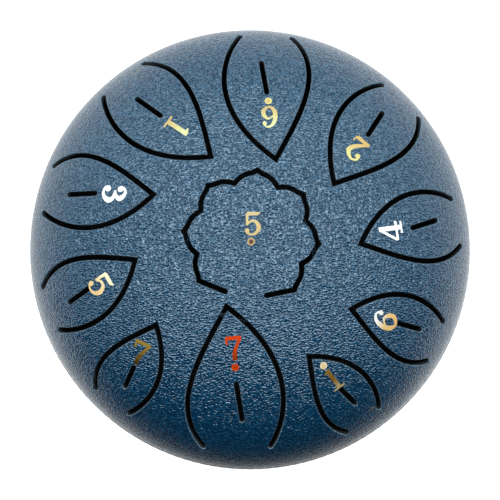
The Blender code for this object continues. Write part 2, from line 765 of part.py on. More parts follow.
def ring_tongue(note, profile, line, material, foil):
    """One tongue of the ring, with its tuning slit, numeral and dot."""
    name, axis_angle, axis_offset, length, root_half, root_radius, slit_from, slit_to = note
    tip, along, left = tongue_frame(axis_angle, axis_offset, length, root_half, root_radius)
    slit = slit_outline(
        tip + (slit_from + SLOT_WIDTH / 2) * along + SLIT_SIDE_AT_TIP_END * length * left,
        tip + (slit_to - SLOT_WIDTH / 2) * along + SLIT_SIDE_AT_ROOT_END * length * left,
    )
    piece = tongue(f"tongue_{name}", profile, line, [slit], material)
    numeral_at, numeral_side, numeral_turn, height = STICKERS[name]
    centre = tip + numeral_at * along + numeral_side * left
    label(name, profile, centre, axis_angle + 180 + numeral_turn, height, foil, piece)


def build():
    """Makes the whole drum."""
    for startup_object in list(bpy.data.objects):
        bpy.data.objects.remove(startup_object, do_unlink=True)
    dome = dome_profile()
    paint = make_material("blue_paint")
    foil = make_material("gold_foil")
    rubber = make_material("rubber")
    ring_lines = [tongue_slot_line(*note[1:6]) for note in NOTES]
    centre_line = centre_slot_line()
    top_shell(dome, [*ring_lines, centre_line], paint)
    bottom_shell(bowl_profile(), paint)
    weld_bead(make_material("weld_paint"))
    for number, angle in enumerate(foot_angles(), start=1):
        foot(f"foot_{number}", polar(FOOT_RING_RADIUS, angle), rubber)
    for note, line in zip(NOTES, ring_lines):
        ring_tongue(note, dome, line, paint, foil)
    centre_tongue = tongue("tongue_5_low", dome, centre_line, [], paint)
    label("5_low", dome, CENTRE_NUMERAL_AT, 90.0, CENTRE_NUMERAL_HEIGHT, foil,
          centre_tongue)


build()
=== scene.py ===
"""The look of the small steel tongue drum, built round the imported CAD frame.

The shells and tongues are rebuilt as fine sheets with rounded slot edges and a
wrinkled powder coat. Each tongue bends smoothly out of the dome at its root. Lengths
are in millimetres and angles in degrees unless a comment says otherwise. Meshes are
made in metres, in the frame's axes.
"""

from math import ceil, cos, floor, pi, radians, sin, sqrt

import bpy
import numpy as np
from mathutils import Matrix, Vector
from mathutils.geometry import delaunay_2d_cdt


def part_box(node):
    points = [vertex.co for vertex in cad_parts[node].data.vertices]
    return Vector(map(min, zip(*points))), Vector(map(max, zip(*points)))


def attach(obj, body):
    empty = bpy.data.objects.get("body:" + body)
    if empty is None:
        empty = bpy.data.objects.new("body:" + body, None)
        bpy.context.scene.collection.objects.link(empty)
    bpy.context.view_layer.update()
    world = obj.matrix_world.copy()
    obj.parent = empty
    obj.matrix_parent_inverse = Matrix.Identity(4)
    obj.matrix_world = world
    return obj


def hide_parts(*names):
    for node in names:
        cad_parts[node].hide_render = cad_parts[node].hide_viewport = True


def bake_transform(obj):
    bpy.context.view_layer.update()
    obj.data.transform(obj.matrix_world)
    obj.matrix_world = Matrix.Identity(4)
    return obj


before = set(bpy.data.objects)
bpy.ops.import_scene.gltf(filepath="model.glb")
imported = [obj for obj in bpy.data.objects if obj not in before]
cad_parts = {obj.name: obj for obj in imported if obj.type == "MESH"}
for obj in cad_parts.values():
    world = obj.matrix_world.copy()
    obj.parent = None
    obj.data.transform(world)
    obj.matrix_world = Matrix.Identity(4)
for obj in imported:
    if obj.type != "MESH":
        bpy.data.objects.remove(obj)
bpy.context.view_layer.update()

MM = 0.001
DRUM_BODY = "drum_body"

# Read from the frame
bead_low, bead_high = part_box("weld_bead")
RIM_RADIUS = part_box("top_shell")[1].x / MM
CROWN_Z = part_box("tongue_5_low")[1].z / MM
BASE_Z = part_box("bottom_shell")[0].z / MM
EQUATOR_Z = (bead_low.z + bead_high.z) / 2 / MM
BEAD_RADIUS = bead_high.x / MM

# Shells
DOME_POWER = 2.2
FLAT_BASE_RADIUS = 45.0
SHEET = 1.5
SEAM_GAP = 0.04
SOUND_HOLE_RADIUS = 22.0
LIP_BEND = 2.5
LIP_STRAIGHT = 2.0
FOOT_NUMBERS = (1, 2, 3)
FOOT_HOLE_RADIUS = 3.5

# Rubber feet: a disc with soft edges and a dished underside, then a neck and a barb. The
# dish is (distance inwards from the disc's edge, height), the barb is (radius, height above
# the neck), and its nose is (radius, distance below the foot's top)
FOOT_DISH = [(3.6, 0.5), (3.0, 0.15), (2.4, 0.0)]
FOOT_EDGE_RADIUS = 0.8
FOOT_EDGE_STEPS = 6
FOOT_EDGE_TAPER = 0.1
FOOT_STRAIGHT_BELOW = 1.0
FOOT_TOP_EDGE_STEPS = 5
FOOT_TOP_GAP = 0.02
FOOT_NECK_RADIUS = 3.45
FOOT_BARB_GAP = 0.05
FOOT_BARB = [(4.5, 0.0), (4.6, 0.25), (4.0, 1.4)]
FOOT_NOSE = [(2.6, 0.3), (2.1, 0.0)]

# Rim weld, a low bead with the ripples of its runs
BEAD_HALF_WIDTH = 1.3
BEAD_SINK = 0.4
BEAD_RIPPLES = 150
BEAD_RIPPLE_HEIGHT = 0.06
BEAD_ARC_STEPS = 8
BEAD_SEGMENTS_PER_RIPPLE = 6

# Slots, in plan. A ring tongue's side is a cubic from its tip to its root. Each handle is
# (share of the tongue's length, angle from the axis)
SLOT_WIDTH = 1.65
ROOT_SKEW = 0.018
LEFT_TIP_HANDLE = (0.723, 50.0)
LEFT_ROOT_HANDLE = (0.136, 40.1)
RIGHT_TIP_HANDLE = (0.371, 32.4)
RIGHT_ROOT_HANDLE = (0.391, 37.9)
# How far a slit's ends lie to the left of the axis, as shares of the tongue's length
SLIT_SIDE_AT_TIP_END = 0.030
SLIT_SIDE_AT_ROOT_END = 0.0525
# Each note's name, axis angle, axis offset from the drum's centre, length, half width
# at the root, the root's distance from the drum's centre, and its tuning slit's two ends
NOTES = [
    ("7_low", -85.8, 9.3, 45.0, 11.2, 68.7, 24.4, 37.5),
    ("6_low", 93.9, 10.2, 44.7, 8.8, 71.1, 22.5, 35.1),
    ("1", 135.9, 10.2, 41.6, 8.9, 70.7, 21.4, 33.2),
    ("2", 52.8, 11.2, 38.2, 8.3, 70.5, 19.8, 30.8),
    ("3", 173.2, 10.4, 36.2, 8.3, 70.6, 18.8, 29.3),
    ("4", 15.5, 11.5, 34.0, 8.0, 69.9, 17.6, 27.7),
    ("5", -153.3, 10.6, 32.3, 7.9, 70.4, 17.3, 26.5),
    ("6", -18.1, 11.8, 30.1, 7.1, 70.3, 15.6, 24.5),
    ("7", -122.3, 10.8, 28.4, 7.1, 70.1, 14.8, 22.9),
    ("1_high", -47.6, 11.9, 27.2, 6.8, 70.2, 14.2, 22.1),
]

# Centre tongue: an eight-petalled outline, open where the eighth tip would be. A side's
# handles are shares of its chord, with their turns away from the drum's centre
PETAL_COUNT = 8
PETAL_CENTRE = (0.4, -0.1)
PETAL_TIP_RADIUS = 22.2
PETAL_NOTCH_RADIUS = 18.55
PETAL_TIP_HANDLE = (0.35, -5.5)
PETAL_NOTCH_HANDLE = (0.61, 22.0)
PETAL_ROOT_ANGLE = 264.6
CENTRE_ROOT_RADIUS = 19.65
CENTRE_ROOT_HALF_ANGLE = 20.1

# Slot edges: rounded by the coat, from the flat face down into the slot
EDGE_RADIUS = 0.30
EDGE_STEPS = 4

# Stickers
FOIL_LIFT = 0.02
FOIL = 0.06
FOIL_GRID = 0.8
DOT_GRID = 0.25
DOT_RADIUS = 1.25
# Each octave dot's distance above or below its numeral's middle and to its right, and its
# foil
DOTS = {
    "7_low": (6.2, -0.3, "red"),
    "6_low": (5.9, 0.0, "gold"),
    "5_low": (6.0, -0.4, "dark_dot"),
    "1_high": (5.9, -0.5, "bright_gold"),
}
# The centre numeral's place, its upward angle, its height and its foil
CENTRE_STICKER = ((0.8, 4.4), 90.0, 7.9, "deep_gold")
# Each ring numeral's distance from its tongue's tip and to the left of its axis, its turn
# from standing with its head to the drum's middle, its height, and its foil
STICKERS = {
    "7_low": (13.7, 1.6, 0.5, 8.7, "red"),
    "6_low": (14.5, 1.1, -1.0, 8.1, "pale_gold"),
    "1": (14.7, 1.1, 8.4, 9.1, "pale_gold"),
    "2": (14.0, 1.1, -1.5, 8.9, "gold"),
    "3": (13.0, 0.6, 2.8, 8.9, "white"),
    "4": (10.6, 1.1, -6.0, 8.9, "white"),
    "5": (13.8, 1.6, 3.5, 8.9, "bright_gold"),
    "6": (11.7, 0.3, -1.5, 9.1, "gold_glare_top"),
    "7": (10.6, 0.4, 8.3, 9.2, "dark_gold"),
    "1_high": (10.6, 1.8, -4.1, 8.5, "bronze"),
}

# Mesh fineness: grid spacings, then counts round or along a line
OUTER_GRID = 1.9
INNER_GRID = 4.0
RIM_SEGMENTS = 256
LIP_SEGMENTS = 128
SLOT_SIDE_STEPS = 40
PETAL_SIDE_STEPS = 8
CAP_STEPS = 12
ROOT_STEPS = 14
STROKE_STEPS = 8
DOT_SEGMENTS = 40
FOOT_SEGMENTS = 64
DOME_STEPS = 1200
WALL_STEPS = 400
FLAT_BASE_STEPS = 30
LIP_STEPS = 25
JOIN_DISTANCE = 1e-5
TURNED_SHARP_ANGLE = 50.0
FOIL_SHARP_ANGLE = 40.0

# Each numeral in a box one unit high, as strokes: (x, y, half width) along a smooth middle
# line. A stroke of one row is a ball.
GLYPHS = {
    "1": [
        [(0.27, 0.04, 0.09), (0.27, 0.96, 0.09)],
        [(0.27, 0.90, 0.05), (0.08, 0.84, 0.03)],
        [(0.02, 0.04, 0.04), (0.52, 0.04, 0.04)],
    ],
    "2": [
        [(0.07, 0.72, 0.03), (0.13, 0.88, 0.04), (0.33, 0.95, 0.05), (0.57, 0.74, 0.09),
         (0.47, 0.46, 0.08), (0.22, 0.21, 0.06), (0.08, 0.08, 0.05)],
        [(0.05, 0.08, 0.07), (0.62, 0.08, 0.08)],
        [(0.63, 0.06, 0.04), (0.67, 0.30, 0.02)],
        [(0.15, 0.71, 0.10)],
    ],
    "3": [
        [(0.10, 0.76, 0.04), (0.18, 0.90, 0.05), (0.36, 0.94, 0.06), (0.55, 0.75, 0.10),
         (0.43, 0.57, 0.06), (0.24, 0.53, 0.045)],
        [(0.28, 0.53, 0.045), (0.51, 0.47, 0.07), (0.61, 0.27, 0.105), (0.40, 0.06, 0.06),
         (0.16, 0.09, 0.05), (0.07, 0.21, 0.04)],
        [(0.19, 0.74, 0.11)],
        [(0.16, 0.23, 0.12)],
    ],
    "4": [
        [(0.51, 0.04, 0.085), (0.51, 0.96, 0.085)],
        [(0.50, 0.94, 0.045), (0.05, 0.27, 0.045)],
        [(0.04, 0.25, 0.045), (0.76, 0.25, 0.045)],
        [(0.28, 0.04, 0.04), (0.74, 0.04, 0.04)],
    ],
    "5": [
        [(0.12, 0.90, 0.08), (0.58, 0.90, 0.07)],
        [(0.54, 0.89, 0.06), (0.66, 0.97, 0.02)],
        [(0.12, 0.93, 0.06), (0.12, 0.42, 0.05)],
        [(0.12, 0.46, 0.04), (0.30, 0.60, 0.05), (0.50, 0.55, 0.07), (0.60, 0.32, 0.09),
         (0.48, 0.10, 0.06), (0.28, 0.04, 0.04), (0.10, 0.11, 0.04)],
        [(0.12, 0.19, 0.10)],
    ],
    "6": [
        [(0.58, 0.86, 0.03), (0.42, 0.95, 0.045), (0.22, 0.84, 0.07), (0.10, 0.55, 0.09),
         (0.13, 0.22, 0.09), (0.34, 0.05, 0.05), (0.57, 0.22, 0.085), (0.54, 0.46, 0.08),
         (0.38, 0.58, 0.045), (0.14, 0.44, 0.035)],
        [(0.55, 0.78, 0.09)],
    ],
    "7": [
        [(0.05, 0.92, 0.07), (0.62, 0.92, 0.07)],
        [(0.05, 0.96, 0.035), (0.06, 0.72, 0.04)],
        [(0.59, 0.92, 0.06), (0.44, 0.63, 0.06), (0.34, 0.36, 0.08), (0.32, 0.06, 0.10)],
        [(0.08, 0.72, 0.05)],
    ],
}
GLYPH_MIDDLE = (0.34, 0.5)

# Foils: colours at a sticker's foot, middle and top, or from a dot's middle to its rim. Each
# change from foot to top or out to a dot's rim is painted glare and shade, and apart from red
# the foils stand for one gold foil lit or shaded differently: the white and the pale tops are
# painted glare, the dark golds of the numerals at the front are painted shade where the foil
# mirrors the dark front, and the centre numeral's deep gold is darkened where the lamp's
# reflection is strongest.
FOILS = {
    "white": ((0.74, 0.73, 0.70), (0.80, 0.79, 0.76), (0.78, 0.77, 0.74)),
    "gold": ((0.58, 0.38, 0.14), (0.60, 0.44, 0.18), (0.64, 0.57, 0.22)),
    "pale_gold": ((0.56, 0.40, 0.17), (0.62, 0.54, 0.24), (0.66, 0.63, 0.34)),
    "bright_gold": ((0.78, 0.54, 0.25), (0.78, 0.56, 0.28), (0.80, 0.68, 0.46)),
    "deep_gold": ((0.34, 0.24, 0.10), (0.36, 0.27, 0.12), (0.34, 0.27, 0.14)),
    "gold_glare_top": ((0.78, 0.46, 0.17), (0.78, 0.52, 0.23), (0.86, 0.85, 0.83)),
    "dark_gold": ((0.05, 0.024, 0.004), (0.16, 0.09, 0.013), (0.30, 0.19, 0.035)),
    "bronze": ((0.42, 0.31, 0.14), (0.19, 0.095, 0.012), (0.22, 0.13, 0.025)),
    "dark_dot": ((0.03, 0.012, 0.005), (0.06, 0.025, 0.010), (0.30, 0.20, 0.09)),
    "red": ((0.25, 0.030, 0.004), (0.48, 0.048, 0.003), (0.58, 0.046, 0.003)),
}

# Materials. A noise is (cells per metre, detail) and a bump is (strength, depth in metres).

# Powder coat. Its height is the grain's 0 to 1, less the depth of the creases. Each colour goes
# with a height, darker lower down and paler higher up: painted shade in the creases and low
# grain, and painted light on the high grain. The gloss falls off between two heights, a painted
# shade on the glints in the creases. DRIFT is in metres.
COAT_STRETCH = (0.8, 1.2, 1.0)
CREASE_CELLS = 480.0
CREASE_DRIFT_NOISE = (CREASE_CELLS, 2.0)
CREASE_DRIFT = 0.002
CREASE_WIDTH = 0.16
CREASE_HEIGHT = 0.18
GRAIN_NOISE = (1650.0, 0.0)
COAT_BUMP = (1.0, 0.00040)
COAT_ROUGHNESS = 0.2
COAT_IOR = 1.76
# The gloss is dimmed in the low places as painted shade
PIT_HEIGHTS = (0.26, 0.46)
PIT_GLOSS = 0.28
FULL_GLOSS = 0.62
GLINT_TINT = (0.70, 0.86, 0.97)
# The darker low colours are painted shade in the creases and low grain
COAT_COLOURS = [
    (0.36, (0.0015, 0.023, 0.056)),
    (0.48, (0.0030, 0.039, 0.090)),
    (0.62, (0.007, 0.055, 0.119)),
]
# The slots' rounded edges are painted paler: partly wear, partly a painted highlight where the
# edge catches the lamp
EDGE_WEAR_HIGHLIGHT_COLOUR = (0.05, 0.09, 0.13)

# Primer inside, rubber and foil. The primer is near black: the inside's own primer, darkened as
# painted shade for the drum's dark inside and the slots' walls
PRIMER_NOISE = (160.0, 4.0)
PRIMER_BUMP = (0.4, 0.00004)
# Near-black primer colours, a painted shade for the dark inside
PRIMER_SHADE_COLOURS = [(0.35, (0.008, 0.009, 0.011)), (0.7, (0.022, 0.024, 0.028))]
PRIMER_GLOSS = 0.1
PRIMER_ROUGHNESS = 0.7
RUBBER_NOISE = (2500.0, 2.0)
RUBBER_BUMP = (0.5, 0.00003)
RUBBER_COLOURS = [(0.3, (0.012, 0.012, 0.013)), (0.75, (0.030, 0.030, 0.032))]
RUBBER_ROUGHNESS = 0.75
FOIL_NOISE = (900.0, 3.0)
FOIL_BUMP = (0.5, 0.00004)
FOIL_MOTTLE = 0.3
FOIL_STOPS = (0.25, 0.62, 1.0)
FOIL_METAL = 0.25
FOIL_GLOSS = 0.15
FOIL_ROUGHNESS = 0.35

# Camera, aimed a little in front of the drum's middle
CAMERA_DISTANCE = 900.0
CAMERA_TILT = 5.06
CAMERA_AIM_FORWARD = 0.45
CAMERA_LENS = 189.5
CAMERA_REACH = 20000.0

# Light from the surroundings, on a sphere of radius one. The sky fades out between two
# values of Y. The lamp is full within LAMP_INNER of its middle in Y and gone by LAMP_OUTER,
# and it reaches further in X by one over the ratio.
STUDIO_LIGHT = 0.75
SKY_TINT = (0.75, 1.0, 1.02)
LAMP_LIGHT = 5.9
LAMP_TILT = 7.0
LAMP_INNER = 0.10
LAMP_OUTER = 0.35
LAMP_DEPTH_TO_WIDTH = 0.24
FRONT_FALL_START = 0.05
FRONT_FALL_END = -0.30

# Floor: painted shade near the drum's middle, and painted dark and without glow in front of it,
# fading between two distances in front of it
FLOOR_SIZE = 3000.0
FLOOR_TONE = 0.3
FLOOR_SHADE_TONE = 0.01
FLOOR_ROUGHNESS = 0.9
# Strength of the painted glow behind and beside the drum
FLOOR_GLOW_BEHIND = 0.95
FRONT_FLOOR_START = 40.0
FRONT_FLOOR_END = 135.0
SHADE_START = 30.0
SHADE_END = 50.0
WHITE = (1.0, 1.0, 1.0, 1.0)


# ---- outlines in plan

def from_polar(radius, angle):
    """Plan points from their radii and their angles in radians."""
    return np.stack([radius * np.cos(angle), radius * np.sin(angle)], axis=-1)


def to_polar(points):
    """The radii of plan points, and their angles in radians."""
    return np.hypot(points[:, 0], points[:, 1]), np.arctan2(points[:, 1], points[:, 0])


def circle(radius, segments, centre=(0.0, 0.0)):
    """A closed polygon whose points lie on a circle, the first one towards +X."""
    return centre + from_polar(radius, np.arange(segments) * 2 * pi / segments)


def polar(radius, angle_deg):
    """A plan point from its radius and its angle in degrees."""
    return from_polar(radius, radians(angle_deg))


def left_of(vectors):
    """Plan vectors turned a quarter to the left."""
    return np.stack([-vectors[..., 1], vectors[..., 0]], axis=-1)


def unit(vectors):
    """Vectors scaled to a length of one."""
    return vectors / np.linalg.norm(vectors, axis=-1, keepdims=True)


def within(points, low, high):
    """Which points lie inside an upright box."""
    return (points >= low).all(axis=1) & (points <= high).all(axis=1)


def cubic(start, start_handle, end_handle, end, steps):
    """Points along a cubic curve, both ends included."""
    share = np.linspace(0.0, 1.0, steps + 1)[:, None]
    rest = 1 - share
    return (
        rest**3 * start
        + 3 * rest**2 * share * start_handle
        + 3 * rest * share**2 * end_handle
        + share**3 * end
    )


def petal_side(tip_handle, root_handle, sign, length, root_half):
    """One side of a tongue's slot line, from the tip at (0, 0) to its end at the root."""
    root = np.array([1.0 + sign * ROOT_SKEW, sign * root_half / length])
    first = polar(*tip_handle) * (1, sign)
    second = root + polar(*root_handle) * (-1, sign)
    return length * cubic(np.zeros(2), first, second, root, SLOT_SIDE_STEPS)


def ring_plan(axis_angle, axis_offset, length, root_half, root_radius, slit_from, slit_to):
    """A ring tongue's plan: a function from (distance from its tip, distance to its left)
    to plan points, its slot's middle line from left to right, and its slit's ends."""
    along = polar(1.0, axis_angle)
    left = left_of(along)
    root_distance = sqrt(root_radius**2 - axis_offset**2 - root_half**2)
    tip = along * (root_distance - length) - left * axis_offset

    def at(local):
        local = np.array(local)
        return tip + local[..., :1] * along + local[..., 1:] * left

    left_side = petal_side(LEFT_TIP_HANDLE, LEFT_ROOT_HANDLE, 1, length, root_half)
    right_side = petal_side(RIGHT_TIP_HANDLE, RIGHT_ROOT_HANDLE, -1, length, root_half)
    slot_line = at(np.concatenate([left_side[::-1], right_side[1:]]))
    slit = at([
        (slit_from + SLOT_WIDTH / 2, SLIT_SIDE_AT_TIP_END * length),
        (slit_to - SLOT_WIDTH / 2, SLIT_SIDE_AT_ROOT_END * length),
    ])
    return at, slot_line, slit


def petal_edge(tip, notch):
    """Half of a lotus petal's edge, from its pointed tip to the notch beside it."""
    chord = notch - tip
    outward = left_of(chord)
    if np.dot(outward, tip) < 0:
        outward = -outward
    tip_along, tip_out = polar(*PETAL_TIP_HANDLE)
    notch_along, notch_out = polar(*PETAL_NOTCH_HANDLE)
    tip_handle = tip + tip_along * chord + tip_out * outward
    notch_handle = notch - notch_along * chord + notch_out * outward
    return cubic(tip, tip_handle, notch_handle, notch, PETAL_SIDE_STEPS)


def centre_slot_line():
    """The slot's middle line round the centre tongue, counterclockwise between its ends."""
    step = 360.0 / PETAL_COUNT
    start_angle = PETAL_ROOT_ANGLE - 360.0

    def spoke(radius, petal):
        return polar(radius, start_angle + petal * step)

    pieces = [[polar(CENTRE_ROOT_RADIUS, start_angle + CENTRE_ROOT_HALF_ANGLE)]]
    pieces.append([spoke(PETAL_TIP_RADIUS, 1)])
    for petal in range(1, PETAL_COUNT - 1):
        notch = spoke(PETAL_NOTCH_RADIUS, petal + 0.5)
        pieces.append(petal_edge(spoke(PETAL_TIP_RADIUS, petal), notch)[1:])
        pieces.append(petal_edge(spoke(PETAL_TIP_RADIUS, petal + 1), notch)[-2::-1])
    pieces.append([polar(CENTRE_ROOT_RADIUS, PETAL_ROOT_ANGLE - CENTRE_ROOT_HALF_ANGLE)])
    return np.array(PETAL_CENTRE) + np.concatenate(pieces)


def offset_line(line, distance):
    """An open line moved to its left by a distance, with mitred corners."""
    normals = left_of(unit(np.diff(line, axis=0)))
    before = np.concatenate([normals[:1], normals])
    after = np.concatenate([normals, normals[-1:]])
    mitre = (before + after) / (1 + (before * after).sum(axis=1))[:, None]
    return line + distance * mitre


def half_turn(centre, outward, radius):
    """A slot's round end, counterclockwise."""
    turns = np.linspace(0.0, pi, CAP_STEPS + 1)[:, None]
    return centre + radius * (np.sin(turns) * outward - np.cos(turns) * left_of(outward))


def quarter_turns(steps):
    """Angles from nothing to a quarter turn, in radians."""
    return [pi / 2 * step / steps for step in range(steps + 1)]


def edge_profile():
    """(distance from the slot's middle line, depth, turn) down a rounded slot edge."""
    rows = []
    for turn in quarter_turns(EDGE_STEPS):
        distance = SLOT_WIDTH / 2 + EDGE_RADIUS * (1 - sin(turn))
        rows.append((distance, EDGE_RADIUS * (1 - cos(turn)), turn))
    return [*rows, (SLOT_WIDTH / 2, SHEET, pi / 2)]


def window_path(line, distance):
    """The shell's side of a slot, from the root round the tongue to the root again."""
    outer = offset_line(line, -distance)
    start_cap = half_turn(line[0], unit(line[0] - line[1]), distance)
    end_cap = half_turn(line[-1], unit(line[-1] - line[-2]), distance)
    return np.concatenate([start_cap, outer[1:-1], end_cap])


def slit_path(ends, distance):
    """A slit's closed edge with round ends."""
    start, end = ends
    outward = unit(end - start)
    return np.concatenate([
        half_turn(end, outward, distance), half_turn(start, -outward, distance),
    ])


# ---- turned sheets

class Profile:
    """The outer line of a turned sheet, from its middle to its rim.

    A point's flat radius is its distance along the line, so an outline drawn flat in
    polar coordinates wraps onto the sheet without stretching along the radius.
    """

    def __init__(self, radii, heights, flat_start, faces_down):
        steps = np.hypot(np.diff(radii), np.diff(heights))
        self.flat = flat_start + np.concatenate([[0.0], np.cumsum(steps)])
        self.radii = radii
        self.heights = heights
        self.faces_down = faces_down
        slope_r = np.gradient(radii, self.flat)
        slope_z = np.gradient(heights, self.flat)
        length = np.hypot(slope_r, slope_z) * (1 if faces_down else -1)
        self.outward_r = slope_z / length
        self.outward_z = -slope_r / length

    def outward(self, flat_points):
        """The outer face's normals at flat points."""
        flat, angle = to_polar(flat_points)
        radial = np.interp(flat, self.flat, self.outward_r)
        upward = np.interp(flat, self.flat, self.outward_z)
        return unit(np.column_stack([from_polar(radial, angle), upward]))

    def place(self, flat_points, depth):
        """Points in space for flat points, at a depth below the outer face."""
        flat, angle = to_polar(flat_points)
        radius = np.interp(flat, self.flat, self.radii)
        height = np.interp(flat, self.flat, self.heights)
        outer = np.column_stack([from_polar(radius, angle), height])
        return outer - depth * self.outward(flat_points)

    def flatten(self, plan_points):
        """Flat points for plan points, on a profile whose radius only grows."""
        radius, angle = to_polar(plan_points)
        return from_polar(np.interp(radius, self.radii, self.flat), angle)


def dome_profile():
    """The top shell's line: a superellipse from the crown to the seam."""
    turn = np.linspace(0.0, pi / 2, DOME_STEPS)
    radii = RIM_RADIUS * np.sin(turn) ** (2 / DOME_POWER)
    rise = (CROWN_Z - EQUATOR_Z) * np.abs(np.cos(turn)) ** (2 / DOME_POWER)
    above_seam = rise >= SEAM_GAP
    return Profile(radii[above_seam], EQUATOR_Z + rise[above_seam], 0.0, False)


def bowl_profile():
    """The bottom shell's line: the sound hole's lip, the flat base and the curved wall."""
    bend_radius = SOUND_HOLE_RADIUS + LIP_BEND
    bend_turn = np.linspace(0.0, pi / 2, LIP_STEPS)
    wall_turn = np.linspace(0.0, pi / 2, WALL_STEPS)[1:]
    base = np.linspace(bend_radius, FLAT_BASE_RADIUS, FLAT_BASE_STEPS)[1:]
    wall = FLAT_BASE_RADIUS + (RIM_RADIUS - FLAT_BASE_RADIUS) * np.sin(wall_turn)
    rise = EQUATOR_Z - (EQUATOR_Z - BASE_Z) * np.cos(wall_turn)
    below_seam = rise <= EQUATOR_Z - SEAM_GAP
    radii = [[SOUND_HOLE_RADIUS], bend_radius - LIP_BEND * np.cos(bend_turn), base,
             wall[below_seam]]
    heights = [[BASE_Z + LIP_BEND + LIP_STRAIGHT], BASE_Z + LIP_BEND * (1 - np.sin(bend_turn)),
               np.full(len(base), BASE_Z), rise[below_seam]]
    flat_start = bend_radius - LIP_BEND * pi / 2 - LIP_STRAIGHT
    return Profile(np.concatenate(radii), np.concatenate(heights), flat_start, True)


def winding(points, outline):
    """How many times a closed outline goes round each point."""
    total = np.zeros(len(points))
    near = within(points, outline.min(axis=0), outline.max(axis=0))
    inside_box = points[near]
    here = outline[None] - inside_box[:, None]
    ahead = np.roll(outline, -1, axis=0)[None] - inside_box[:, None]
    cross = here[..., 0] * ahead[..., 1] - here[..., 1] * ahead[..., 0]
    dot = (here * ahead).sum(axis=2)
    total[near] = np.arctan2(cross, dot).sum(axis=1) / (2 * pi)
    return np.rint(total).astype(int)


def edge_distance(points, outline):
    """Each point's distance to the nearest side of a closed outline."""
    start = outline[None]
    side = np.roll(outline, -1, axis=0)[None] - start
    share = ((points[:, None] - start) * side).sum(axis=2) / (side**2).sum(axis=2)
    nearest = start + np.clip(share, 0, 1)[..., None] * side
    return np.linalg.norm(points[:, None] - nearest, axis=2).min(axis=1)


def grid_points(border, holes, spacing):
    """A triangular grid inside the border, clear of the outlines."""
    low = border.min(axis=0) - spacing
    high = border.max(axis=0) + spacing
    row_height = spacing * sqrt(3) / 2
    rows = np.arange(floor(low[1] / row_height), ceil(high[1] / row_height) + 1)
    columns = np.arange(floor(low[0] / spacing), ceil(high[0] / spacing) + 1)
    column_grid, row_grid = np.meshgrid(columns, rows)
    points = np.column_stack([
        (spacing * (column_grid + 0.5 * (row_grid % 2))).ravel(),
        (row_height * row_grid).ravel(),
    ])
    points = points[between(border, holes)(points)]
    clear = spacing / 2
    for outline in [border, *holes]:
        near = within(points, outline.min(axis=0) - clear, outline.max(axis=0) + clear)
        near[near] = edge_distance(points[near], outline) < clear
        points = points[~near]
    return points


def triangulate(outlines, extra_points, keep):
    """Flat points, kept triangles, and each outline's indices among the points."""
    given = []
    edges = []
    loops = []
    for outline in outlines:
        first = len(given)
        count = len(outline)
        given.extend(tuple(point) for point in outline)
        edges.extend((first + i, first + (i + 1) % count) for i in range(count))
        loops.append(range(first, first + count))
    given.extend(tuple(point) for point in extra_points)
    result = delaunay_2d_cdt(given, edges, [], 0, JOIN_DISTANCE)
    flat = np.array([tuple(vertex) for vertex in result[0]])
    triangles = np.array(result[2])
    triangles = triangles[keep(flat[triangles].mean(axis=1))]
    new_index = {}
    for index, sources in enumerate(result[3]):
        new_index.update(dict.fromkeys(sources, index))
    return flat, triangles, [[new_index[i] for i in loop] for loop in loops]


def between(border, holes):
    """A test for points inside a border and outside its holes."""
    def keep(middles):
        kept = winding(middles, border) != 0
        for hole in holes:
            kept &= winding(middles, hole) == 0
        return kept

    return keep


# ---- mesh building

def new_object(name, data):
    """A mesh or a camera as an object in the scene."""
    made = bpy.data.objects.new(name, data)
    bpy.context.scene.collection.objects.link(made)
    return made


def new_mesh(name, points, faces, materials):
    """A smooth mesh from points in millimetres."""
    mesh = bpy.data.meshes.new(name)
    mesh.from_pydata([tuple(point) for point in np.array(points) * MM], [], faces)
    for material in materials:
        mesh.materials.append(material)
    mesh.shade_smooth()
    return mesh


class SheetMesh:
    """Collects points and faces whose corners carry their own normals."""

    def __init__(self, faces_down):
        self.points = []
        self.edge_wear = []
        self.faces = []
        self.corner_normals = []
        self.slots = []
        self.faces_down = faces_down

    def add_points(self, points, wear=0.0):
        """Adds points and returns their indices; a mark of 1 puts them on the slot edge's pale
        line, partly wear and partly painted highlight.
        """
        first = len(self.points)
        self.points.extend(tuple(point) for point in points)
        self.edge_wear.extend([wear] * len(points))
        return list(range(first, first + len(points)))

    def add_face(self, corners, normals, slot=0):
        """Adds a face, counterclockwise on a sheet that faces up."""
        if self.faces_down:
            corners = corners[::-1]
            normals = normals[::-1]
        self.faces.append(tuple(corners))
        self.corner_normals.extend(tuple(normal) for normal in normals)
        self.slots.append(slot)

    def add_strip(self, rows, normal_rows, material_left, closed, slot=0):
        """Quads between two rows of points down the edge of a sheet."""
        upper, lower = rows
        upper_normals, lower_normals = normal_rows
        count = len(upper)
        for i in range(count if closed else count - 1):
            j = (i + 1) % count
            corners = [upper[i], lower[i], lower[j], upper[j]]
            normals = [upper_normals[i], lower_normals[i], lower_normals[j], upper_normals[j]]
            if not material_left:
                corners = corners[::-1]
                normals = normals[::-1]
            self.add_face(corners, normals, slot)

    def to_object(self, name, materials):
        """The finished mesh object."""
        mesh = new_mesh(name, self.points, self.faces, materials)
        mesh.polygons.foreach_set("material_index", self.slots)
        mesh.normals_split_custom_set(self.corner_normals)
        wear = mesh.attributes.new("edge_wear", "FLOAT", "POINT")
        wear.data.foreach_set("value", self.edge_wear)
        return new_object(name, mesh)


